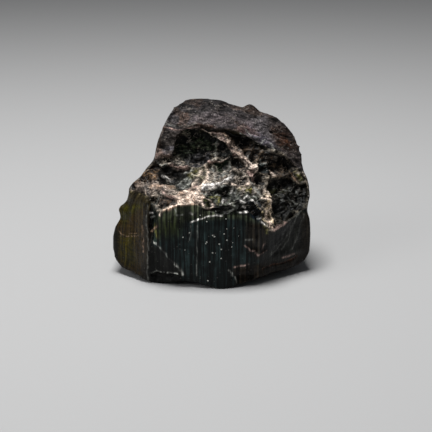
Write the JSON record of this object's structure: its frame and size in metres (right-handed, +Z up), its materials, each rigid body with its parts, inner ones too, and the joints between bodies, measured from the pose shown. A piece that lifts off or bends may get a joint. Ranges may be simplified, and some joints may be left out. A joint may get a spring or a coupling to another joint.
{
  "type": "rough tourmaline",
  "caption": "Rough dark tourmaline specimen: a ribbed prism stub, broken across in pale ledges, with a rounded crust wrapping its top and a flat patch under it to rest on.",
  "frame": {"origin": "middle of the bounding box in X and Y, at the flat patch the stone rests on (z = 0)", "axes": "+X to the right along the stone's width, -Y towards the flat striated prism face, +Y back, +Z up"},
  "size_m": [0.0312, 0.0232, 0.0257],
  "materials": {
    "tourmaline": "satin"
  },
  "bodies": {
    "root": {"tourmaline": "tourmaline"}
  },
  "joints": []
}
